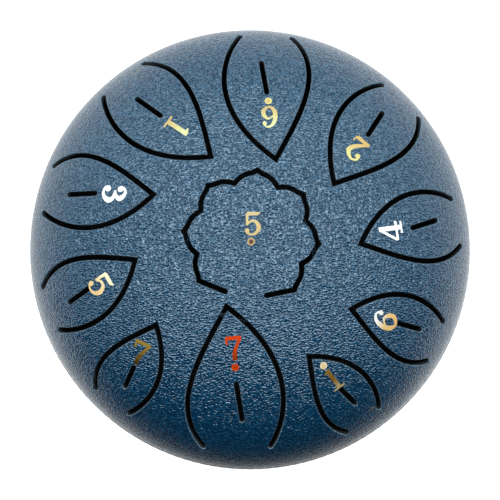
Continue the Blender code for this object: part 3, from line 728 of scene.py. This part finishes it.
class SlotEdge:
    """One edge of a sheet along a slot: rows of points from the outer face to the inner."""

    def __init__(self, profile, path_at, material_left, closed):
        self.material_left = material_left
        self.closed = closed
        rows = edge_profile()
        self.flat_rows = [profile.flatten(path_at(distance)) for distance, _, _ in rows]
        outward = profile.outward(self.flat_rows[0])
        on_face = profile.place(self.flat_rows[0], 0.0)
        at_slot = profile.place(self.flat_rows[-1], 0.0)
        into_slot = unit(at_slot - on_face)
        self.places = [
            profile.place(flat, depth) for flat, (_, depth, _) in zip(self.flat_rows, rows)
        ]
        self.normals = [
            unit(cos(turn) * outward + sin(turn) * into_slot) for _, _, turn in rows
        ]

    def outline(self, row):
        """The closed outline at the outer face (row 0) or the inner face (row -1)."""
        flat = self.flat_rows[row]
        if self.closed:
            return flat
        shares = np.linspace(0.0, 1.0, ROOT_STEPS + 1)[1:-1, None]
        return np.concatenate([flat, flat[-1] + shares * (flat[0] - flat[-1])])

    def fill(self, sheet, top_loop, bottom_loop):
        """Adds the rounded edge and the wall, which has the inside material's near-black painted
        shade, and the cut across the root if the slot is open there."""
        count = len(self.flat_rows[0])
        indices = [top_loop[:count]]
        for places in self.places[1:-1]:
            # The rounded edge's rows carry the pale line of wear and painted highlight
            indices.append(sheet.add_points(places, wear=1.0))
        indices.append(bottom_loop[:count])
        wall = len(indices) - 2
        for row in range(len(indices) - 1):
            sheet.add_strip(indices[row : row + 2], self.normals[row : row + 2],
                            self.material_left, self.closed, slot=int(row == wall))
        if not self.closed:
            self.close_root(sheet, indices, top_loop[count:], bottom_loop[count:])

    def close_root(self, sheet, indices, top_root, bottom_root):
        """Closes the sheet along the root line, where shell and tongue meet."""
        end_fan = [row[-1] for row in indices]
        start_fan = [row[0] for row in indices][::-1]
        top = [indices[0][-1], *top_root, indices[0][0]]
        bottom = [indices[-1][-1], *bottom_root, indices[-1][0]]
        walls = [end_fan, start_fan]
        for i in range(len(top) - 1):
            walls.append([top[i], bottom[i], bottom[i + 1], top[i + 1]])
        for corners in walls:
            if not self.material_left:
                corners = corners[::-1]
            points = np.array([sheet.points[corner] for corner in corners])
            normal = np.cross(points[1] - points[0], points[2] - points[0])
            normal = normal / max(np.linalg.norm(normal), 1e-9)
            sheet.add_face(corners, [normal] * len(corners))


class PlainEdge:
    """A sheet's square edge, given by its flat outline and its wall's normals."""

    def __init__(self, flat, normals, material_left):
        self.flat = flat
        self.normals = np.broadcast_to(normals, (len(flat), 3))
        self.material_left = material_left

    def outline(self, row):
        """The outline, which is the same on both faces."""
        return self.flat

    def fill(self, sheet, top_loop, bottom_loop):
        """Adds the wall."""
        normals = (self.normals, self.normals)
        sheet.add_strip((top_loop, bottom_loop), normals, self.material_left, True)


def add_skin(sheet, profile, border, holes, spacing, depth, slot):
    """Adds one face of a sheet and returns the border's and the holes' point indices."""
    grid = grid_points(border, holes, spacing)
    flat, triangles, loops = triangulate([border, *holes], grid, between(border, holes))
    indices = np.array(sheet.add_points(profile.place(flat, depth)))
    normals = profile.outward(flat)
    if depth > 0:
        triangles = triangles[:, ::-1]
        normals = -normals
    for triangle in triangles:
        sheet.add_face(indices[triangle].tolist(), normals[triangle], slot)
    return [indices[loop].tolist() for loop in loops]


def build_sheet(name, profile, edges, materials):
    """A sheet inside its first edge, with the other edges as its holes."""
    sheet = SheetMesh(profile.faces_down)
    faces = []
    for row, spacing, depth, slot in ((0, OUTER_GRID, 0.0, 0), (-1, INNER_GRID, SHEET, 1)):
        border, *holes = [edge.outline(row) for edge in edges]
        faces.append(add_skin(sheet, profile, border, holes, spacing, depth, slot))
    for edge, top_loop, bottom_loop in zip(edges, *faces):
        edge.fill(sheet, top_loop, bottom_loop)
    return sheet.to_object(name, materials)


def seam_edge(profile):
    """A shell's rim, which faces the other shell across the seam."""
    facing = (0.0, 0.0, 1.0 if profile.faces_down else -1.0)
    return PlainEdge(circle(profile.flat[-1], RIM_SEGMENTS), facing, True)


def turned(name, section, segments, material, centre=(0.0, 0.0), closed=False, wobble=None):
    """A turned solid from (radius, height) rows; closed joins the last row to the first."""
    points = []
    faces = []
    count = len(section)
    for segment in range(segments):
        turn = 2 * pi * segment / segments
        for row, (radius, height) in enumerate(section):
            reach = radius + (wobble(turn, row) if wobble else 0.0)
            points.append((centre[0] + reach * cos(turn), centre[1] + reach * sin(turn), height))
    for first in range(0, len(points), count):
        second = (first + count) % len(points)
        for i in range(count if closed else count - 1):
            j = (i + 1) % count
            faces.append((first + i, second + i, second + j, first + j))
    if not closed:
        faces.append(tuple(range(0, len(points), count))[::-1])
        faces.append(tuple(range(count - 1, len(points), count)))
    mesh = new_mesh(name, points, faces, [material])
    mesh.set_sharp_from_angle(angle=radians(TURNED_SHARP_ANGLE))
    return new_object(name, mesh)


# ---- materials

class Nodes:
    """Adds nodes to a tree. An input is given a value, or the output that feeds it."""

    def __init__(self, tree):
        self.tree = tree

    def add(self, kind, inputs=None, **settings):
        """A new node with these settings and inputs."""
        node = self.tree.nodes.new(f"ShaderNode{kind}")
        for name, value in settings.items():
            setattr(node, name, value)
        self.feed(node, inputs or {})
        return node

    def feed(self, node, inputs):
        """Sets or links a node's inputs."""
        for name, value in inputs.items():
            if isinstance(value, bpy.types.NodeSocket):
                self.tree.links.new(value, node.inputs[name])
            else:
                node.inputs[name].default_value = value

    def math(self, operation, first, second):
        """The result of an operation on two numbers."""
        return self.add("Math", {0: first, 1: second}, operation=operation).outputs[0]

    def vector(self, operation, *values, output="Vector"):
        """The result of an operation on vectors."""
        inputs = dict(enumerate(values))
        return self.add("VectorMath", inputs, operation=operation).outputs[output]

    def smooth_step(self, value, start, end, low=0.0, high=1.0):
        """A value that goes smoothly from low to high between start and end."""
        step = self.add("MapRange", {
            "Value": value, "From Min": start, "From Max": end, "To Min": low, "To Max": high,
        }, interpolation_type="SMOOTHSTEP")
        return step.outputs["Result"]

    def noise(self, place, cells, detail):
        """A noise texture's outputs."""
        return self.add("TexNoise", {
            "Vector": place, "Scale": cells, "Detail": detail,
        }).outputs

    def ramp(self, value, stops):
        """A colour from (position, colour) stops."""
        made = self.add("ValToRGB", {"Fac": value})
        elements = made.color_ramp.elements
        while len(elements) < len(stops):
            elements.new(0.5)
        for element, (position, colour) in zip(elements, stops):
            element.position = position
            element.color = (*colour, 1.0)
        return made.outputs["Color"]

    def bump(self, height, strength, distance):
        """The normal of a surface that this height roughens."""
        made = self.add("Bump", {"Height": height, "Strength": strength, "Distance": distance})
        return made.outputs["Normal"]

    def object_place(self):
        """Object coordinates, in metres."""
        return self.add("TexCoord").outputs["Object"]


def new_material(name):
    """A material, the nodes of its tree, and its Principled shader."""
    material = bpy.data.materials.new(name)
    material.use_nodes = True
    tree = material.node_tree
    return material, Nodes(tree), tree.nodes["Principled BSDF"]


def coat_height(nodes, place):
    """The coat's fine grain, less a leathery network of creases."""
    drift = nodes.noise(place, *CREASE_DRIFT_NOISE)
    pushed = nodes.vector("MULTIPLY_ADD", drift["Color"], [CREASE_DRIFT] * 3, place)
    cells = nodes.add("TexVoronoi", {
        "Vector": pushed, "Scale": CREASE_CELLS,
    }, feature="DISTANCE_TO_EDGE")
    crease = nodes.smooth_step(cells.outputs["Distance"], 0.0, CREASE_WIDTH, -CREASE_HEIGHT, 0.0)
    grain = nodes.noise(place, *GRAIN_NOISE)
    return nodes.math("ADD", grain["Fac"], crease)


def powder_coat():
    """Wrinkled powder coat, darker and duller in the creases as painted shade, and pale on the
    slots' edges, partly from wear and partly as painted highlight.
    """
    material, nodes, shader = new_material("dome_coat")
    stretched = nodes.add("Mapping", {"Vector": nodes.object_place(), "Scale": COAT_STRETCH})
    height = coat_height(nodes, stretched.outputs["Vector"])
    # Pale line on the slots' edges: partly wear, partly painted highlight
    worn_and_lit = nodes.add("Attribute", attribute_name="edge_wear")
    colour = nodes.add("Mix", {
        "Factor": worn_and_lit.outputs["Fac"],
        # Darker in the creases and low grain: painted shade
        "A": nodes.ramp(height, COAT_COLOURS),
        "B": (*EDGE_WEAR_HIGHLIGHT_COLOUR, 1.0),
    }, data_type="RGBA")
    nodes.feed(shader, {
        "Base Color": colour.outputs["Result"],
        "Normal": nodes.bump(height, *COAT_BUMP),
        "Roughness": COAT_ROUGHNESS,
        "IOR": COAT_IOR,
        # Gloss dimmed in the creases: painted shade
        "Specular IOR Level": nodes.smooth_step(height, *PIT_HEIGHTS, PIT_GLOSS, FULL_GLOSS),
        "Specular Tint": (*GLINT_TINT, 1.0),
    })
    return material


def shaded_primer():
    """The shells' inside and the slots' walls: primer painted near black as painted shade, with
    a faint mottle.
    """
    material, nodes, shader = new_material("inside_primer_shade")
    mottle = nodes.noise(nodes.object_place(), *PRIMER_NOISE)["Fac"]
    nodes.feed(shader, {
        "Base Color": nodes.ramp(mottle, PRIMER_SHADE_COLOURS),
        "Normal": nodes.bump(mottle, *PRIMER_BUMP),
        "Roughness": PRIMER_ROUGHNESS,
        "Specular IOR Level": PRIMER_GLOSS,
    })
    return material


def black_rubber():
    """Matt rubber with a fine moulded grain."""
    material, nodes, shader = new_material("foot_rubber")
    grain = nodes.noise(nodes.object_place(), *RUBBER_NOISE)["Fac"]
    nodes.feed(shader, {
        "Base Color": nodes.ramp(grain, RUBBER_COLOURS),
        "Normal": nodes.bump(grain, *RUBBER_BUMP),
        "Roughness": RUBBER_ROUGHNESS,
    })
    return material


def foil_material(name, colours):
    """Transfer foil: part metallic, a little crinkled, with painted glare and shade that change
    along the sticker or out to a dot's rim.
    """
    material, nodes, shader = new_material(f"{name}_foil")
    # How far along its sticker or out to its dot's rim a point lies, for the painted glare and
    # shade
    along = nodes.add("Attribute", attribute_name="foil_glare_shade")
    crinkle = nodes.noise(nodes.object_place(), *FOIL_NOISE)["Fac"]
    mottle = nodes.math("MULTIPLY", crinkle, FOIL_MOTTLE)
    mixed = nodes.math("ADD", mottle, along.outputs["Fac"])
    nodes.feed(shader, {
        "Base Color": nodes.ramp(mixed, list(zip(FOIL_STOPS, colours))),
        "Normal": nodes.bump(crinkle, *FOIL_BUMP),
        "Roughness": FOIL_ROUGHNESS,
        "Metallic": FOIL_METAL,
        "Specular IOR Level": FOIL_GLOSS,
    })
    return material


# ---- the pieces

def add_dome(dome, lines, paint, inside):
    """The top shell, with a window for each tongue."""
    edges = [seam_edge(dome)]
    for line in lines:
        edges.append(SlotEdge(dome, lambda distance: window_path(line, distance), False, False))
    top = build_sheet("dome_sheet", dome, edges, [paint, inside])
    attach(top, DRUM_BODY)
    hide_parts("top_shell")


def foot_place(number):
    """A foot's centre in plan, its radius and its top."""
    low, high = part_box(f"foot_{number}")
    centre = ((low.x + high.x) / 2 / MM, (low.y + high.y) / 2 / MM)
    return centre, (high.x - low.x) / 2 / MM, high.z / MM


def add_bowl(paint, inside):
    """The bottom shell, with its lipped sound hole and foot holes."""
    bowl = bowl_profile()
    lip = PlainEdge(circle(bowl.flat[0], LIP_SEGMENTS), (0.0, 0.0, 1.0), False)
    edges = [seam_edge(bowl), lip]
    for number in FOOT_NUMBERS:
        centre, _, _ = foot_place(number)
        hole = circle(FOOT_HOLE_RADIUS, FOOT_SEGMENTS, centre)
        into_hole = np.column_stack([unit(centre - hole), np.zeros(len(hole))])
        edges.append(PlainEdge(hole, into_hole, False))
    bottom = build_sheet("bowl_sheet", bowl, edges, [paint, inside])
    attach(bottom, DRUM_BODY)
    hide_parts("bottom_shell")


def add_weld(paint):
    """The weld round the rim: a low rounded bead with a ripple for each run."""
    section = []
    for step in range(BEAD_ARC_STEPS + 1):
        turn = pi * step / BEAD_ARC_STEPS
        bulge = (BEAD_RADIUS - RIM_RADIUS - BEAD_RIPPLE_HEIGHT) * sin(turn)
        section.append((RIM_RADIUS + bulge, EQUATOR_Z - BEAD_HALF_WIDTH * cos(turn)))
    for side in (1, -1):
        section.append((RIM_RADIUS - BEAD_SINK, EQUATOR_Z + side * BEAD_HALF_WIDTH / 2))

    def ripple(turn, row):
        share = sin(pi * row / BEAD_ARC_STEPS) if row <= BEAD_ARC_STEPS else 0.0
        return BEAD_RIPPLE_HEIGHT * share * abs(sin(turn * BEAD_RIPPLES / 2))

    segments = BEAD_RIPPLES * BEAD_SEGMENTS_PER_RIPPLE
    bead = turned("rim_weld", section, segments, paint, closed=True, wobble=ripple)
    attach(bead, DRUM_BODY)
    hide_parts("weld_bead")


def foot_section(radius, top):
    """Half of a foot's section, from the middle of its barb's nose down to its dish."""
    disc_top = BASE_Z - FOOT_TOP_GAP
    barb_bottom = BASE_Z + SHEET + FOOT_BARB_GAP
    edge = FOOT_EDGE_RADIUS
    lower = radius - FOOT_EDGE_TAPER - edge
    rows = [(radius - inwards, height) for inwards, height in FOOT_DISH]
    rows.append((lower, 0.0))
    for turn in quarter_turns(FOOT_EDGE_STEPS)[1:]:
        rows.append((lower + edge * sin(turn), edge - edge * cos(turn)))
    rows.append((radius, disc_top - FOOT_STRAIGHT_BELOW))
    for turn in quarter_turns(FOOT_TOP_EDGE_STEPS)[1:]:
        height = disc_top - edge + edge * sin(turn)
        rows.append((radius - edge + edge * cos(turn), height))
    rows += [(FOOT_NECK_RADIUS, disc_top), (FOOT_NECK_RADIUS, barb_bottom)]
    rows += [(barb_radius, barb_bottom + above) for barb_radius, above in FOOT_BARB]
    rows += [(nose_radius, top - below) for nose_radius, below in FOOT_NOSE]
    return rows[::-1]


def add_foot(number, rubber):
    """A push-in rubber foot with a softened edge and a shallow dish under it."""
    centre, radius, top = foot_place(number)
    section = foot_section(radius, top)
    piece = turned(f"rubber_foot_{number}", section, FOOT_SEGMENTS, rubber, centre)
    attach(piece, DRUM_BODY)
    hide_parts(f"foot_{number}")


def add_tongue(name, dome, line, slits, materials):
    """One tongue, which grows out of the dome at its root."""
    edges = [SlotEdge(dome, lambda distance: offset_line(line, distance), True, False)]
    for ends in slits:
        edges.append(SlotEdge(dome, lambda distance: slit_path(ends, distance), False, True))
    piece = build_sheet(f"tongue_sheet_{name}", dome, edges, materials)
    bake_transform(piece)
    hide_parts(f"tongue_{name}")


def smooth_line(controls):
    """A smooth curve through control rows, each segment in STROKE_STEPS steps."""
    controls = np.array(controls)
    if len(controls) == 2:
        return controls
    padded = np.concatenate([
        2 * controls[:1] - controls[1:2], controls, 2 * controls[-1:] - controls[-2:-1],
    ])
    pieces = []
    for i in range(len(controls) - 1):
        before, start, end, after = padded[i : i + 4]
        start_handle = start + (end - before) / 6
        end_handle = end - (after - start) / 6
        pieces.append(cubic(start, start_handle, end_handle, end, STROKE_STEPS)[:-1])
    return np.concatenate([*pieces, controls[-1:]])


def stroke_outline(controls):
    """A stroke's edge in glyph units, from its middle line and half widths."""
    if len(controls) == 1:
        x, y, radius = controls[0]
        return circle(radius, DOT_SEGMENTS, (x, y))
    rows = smooth_line(controls)
    line = rows[:, :2]
    widths = rows[:, 2:]
    side = offset_line(line, 1.0) - line
    return np.concatenate([line - side * widths, (line + side * widths)[::-1]])


def foil_sheet(outlines, spacing):
    """Flat points and triangles for overlapping outlines taken as one shape."""
    def keep(middles):
        kept = np.zeros(len(middles), dtype=bool)
        for outline in outlines:
            kept |= winding(middles, outline) != 0
        return kept

    corners = np.concatenate(outlines)
    low = corners.min(axis=0)
    high = corners.max(axis=0)
    box = np.array([(low[0], low[1]), (high[0], low[1]), (high[0], high[1]), (low[0], high[1])])
    grid = grid_points(box, [], spacing)
    grid = grid[keep(grid)]
    for outline in outlines:
        grid = grid[edge_distance(grid, outline) > spacing / 4]
    flat, triangles, _ = triangulate(outlines, grid, keep)
    used = np.unique(triangles)
    new_index = np.full(len(flat), -1)
    new_index[used] = np.arange(len(used))
    return flat[used], new_index[triangles].tolist()


def add_foil(node, note, dome, outlines, spacing, glare_shade_at, material):
    """A numeral or a dot of foil, from overlapping flat outlines, on its note's tongue."""
    flat, triangles = foil_sheet(outlines, spacing)
    count = len(flat)
    points = np.concatenate([
        dome.place(flat, -FOIL_LIFT - FOIL), dome.place(flat, -FOIL_LIFT),
    ])
    directed = {(t[i], t[(i + 1) % 3]) for t in triangles for i in range(3)}
    border = sorted(edge for edge in directed if (edge[1], edge[0]) not in directed)
    faces = [tuple(t) for t in triangles]
    faces += [tuple(count + i for i in reversed(t)) for t in triangles]
    faces += [(b, a, count + a, count + b) for a, b in border]
    name = f"foil_{node.removeprefix('numeral_')}"
    mesh = new_mesh(name, points, faces, [material])
    mesh.set_sharp_from_angle(angle=radians(FOIL_SHARP_ANGLE))
    # Painted glare and shade: share of the way up the sticker, or out to the dot's rim
    attribute = mesh.attributes.new("foil_glare_shade", "FLOAT", "POINT")
    attribute.data.foreach_set("value", np.tile(glare_shade_at(flat), 2).astype(np.float32))
    piece = new_object(name, mesh)
    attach(piece, f"tongue_{note}")
    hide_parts(node)


def add_label(note, dome, centre, up_angle, height, foil, foils):
    """A tongue's numeral, and its octave dot if the note has one."""
    middle = dome.flatten(np.array([centre]))[0]
    up = polar(1.0, up_angle)
    right = -left_of(up)
    outlines = []
    for stroke in GLYPHS[note[0]]:
        local = (stroke_outline(stroke) - GLYPH_MIDDLE) * height
        outlines.append(middle + local[:, :1] * right + local[:, 1:] * up)
    add_foil(f"numeral_{note}", note, dome, outlines, FOIL_GRID,
             lambda points: (points - middle) @ up / height + 0.5,
             foils[foil])
    if note not in DOTS:
        return
    distance, dot_side, dot_foil = DOTS[note]
    direction = 1 if note.endswith("high") else -1
    dot_middle = middle + direction * distance * up + dot_side * right
    add_foil(f"dot_{note}", note, dome, [circle(DOT_RADIUS, DOT_SEGMENTS, dot_middle)], DOT_GRID,
             lambda points: np.linalg.norm(points - dot_middle, axis=1) / DOT_RADIUS,
             foils[dot_foil])


# ---- stage, light, camera

def floor_material():
    """Pale and glowing white to the camera. Painted dark under the drum and in front of it as
    painted shade, and glowing behind and beside it, a painted glow that stands in for bounced
    light."""
    material, nodes, shader = new_material("pale_floor")
    place = nodes.object_place()
    from_middle = nodes.vector("LENGTH", place, output="Value")
    shade = nodes.smooth_step(from_middle, SHADE_START * MM, SHADE_END * MM)
    y = nodes.add("SeparateXYZ", {0: place}).outputs["Y"]
    front = nodes.smooth_step(y, -FRONT_FLOOR_END * MM, -FRONT_FLOOR_START * MM)
    # Painted shade: dark under the drum and in front of it
    tones = [(0.0, [FLOOR_SHADE_TONE] * 3), (1.0, [FLOOR_TONE] * 3)]
    # Painted glow behind and beside the drum, none in front
    glow_behind = nodes.math("MULTIPLY", front, FLOOR_GLOW_BEHIND)
    seen = nodes.add("LightPath").outputs["Is Camera Ray"]
    glow = nodes.math("MAXIMUM", seen, glow_behind)
    nodes.feed(shader, {
        "Base Color": nodes.ramp(nodes.math("MULTIPLY", shade, front), tones),
        "Emission Color": WHITE,
        "Emission Strength": nodes.math("MULTIPLY", glow, shade),
        "Roughness": FLOOR_ROUGHNESS,
        "Specular IOR Level": 0.0,
    })
    return material


def add_floor():
    """The studio floor, which the drum's feet stand on."""
    half = FLOOR_SIZE / 2
    corners = [(-half, -half, 0), (half, -half, 0), (half, half, 0), (-half, half, 0)]
    mesh = new_mesh("floor", corners, [(0, 1, 2, 3)], [floor_material()])
    new_object("floor", mesh)


def add_studio_light():
    """A soft sky that is dark in front, a long lamp overhead, and a white backdrop that
    only the camera sees."""
    world = bpy.data.worlds.new("studio")
    world.use_nodes = True
    bpy.context.scene.world = world
    world.node_tree.nodes.clear()
    nodes = Nodes(world.node_tree)
    direction = nodes.add("TexCoord").outputs["Generated"]
    y = nodes.add("SeparateXYZ", {0: direction}).outputs["Y"]
    level = nodes.smooth_step(y, FRONT_FALL_END, FRONT_FALL_START, 0.0, STUDIO_LIGHT)
    tilt = radians(LAMP_TILT)
    from_lamp = nodes.vector("SUBTRACT", direction, (0.0, sin(tilt), cos(tilt)))
    ratio = LAMP_DEPTH_TO_WIDTH
    scaled = nodes.vector("MULTIPLY", from_lamp, (ratio, 1.0, ratio))
    distance = nodes.vector("LENGTH", scaled, output="Value")
    lamp = nodes.smooth_step(distance, LAMP_OUTER, LAMP_INNER, 0.0, LAMP_LIGHT)
    sky = nodes.add("Background", {"Color": (*SKY_TINT, 1.0), "Strength": level})
    strip = nodes.add("Background", {"Color": WHITE, "Strength": lamp})
    glow = nodes.add("AddShader", {0: sky.outputs[0], 1: strip.outputs[0]})
    backdrop = nodes.add("Background", {"Color": WHITE})
    seen = nodes.add("LightPath").outputs["Is Camera Ray"]
    chosen = nodes.add("MixShader", {0: seen, 1: glow.outputs[0], 2: backdrop.outputs[0]})
    nodes.add("OutputWorld", {"Surface": chosen.outputs[0]})


def add_camera():
    """The view from almost straight above, tipped a little towards the player."""
    tilt = radians(CAMERA_TILT)
    aim = Vector((0.0, -CAMERA_AIM_FORWARD, EQUATOR_Z)) * MM
    away = Vector((0.0, -sin(tilt), cos(tilt)))
    data = bpy.data.cameras.new("camera")
    data.lens = CAMERA_LENS
    data.clip_end = CAMERA_REACH * MM
    camera = new_object("camera", data)
    camera.location = Vector((0.0, 0.0, EQUATOR_Z * MM)) + away * CAMERA_DISTANCE * MM
    camera.rotation_euler = (aim - camera.location).to_track_quat("-Z", "Y").to_euler()
    bpy.context.scene.camera = camera


def build():
    """Makes every visible piece, the stage, the light and the camera."""
    dome = dome_profile()
    paint = powder_coat()
    inside = shaded_primer()
    rubber = black_rubber()
    foils = {name: foil_material(name, colours) for name, colours in FOILS.items()}
    plans = [ring_plan(*note[1:]) for note in NOTES]
    centre_line = centre_slot_line()
    add_dome(dome, [*(line for _, line, _ in plans), centre_line], paint, inside)
    add_bowl(paint, inside)
    add_weld(paint)
    for number in FOOT_NUMBERS:
        add_foot(number, rubber)
    for (name, axis_angle, *_), (at, line, slit) in zip(NOTES, plans):
        add_tongue(name, dome, line, [slit], [paint, inside])
        *place, turn, height, foil = STICKERS[name]
        add_label(name, dome, at(place), axis_angle + 180 + turn, height, foil, foils)
    add_tongue("5_low", dome, centre_line, [], [paint, inside])
    add_label("5_low", dome, *CENTRE_STICKER, foils)
    add_floor()
    add_studio_light()
    add_camera()
    bpy.context.scene.view_settings.view_transform = "Standard"


build()
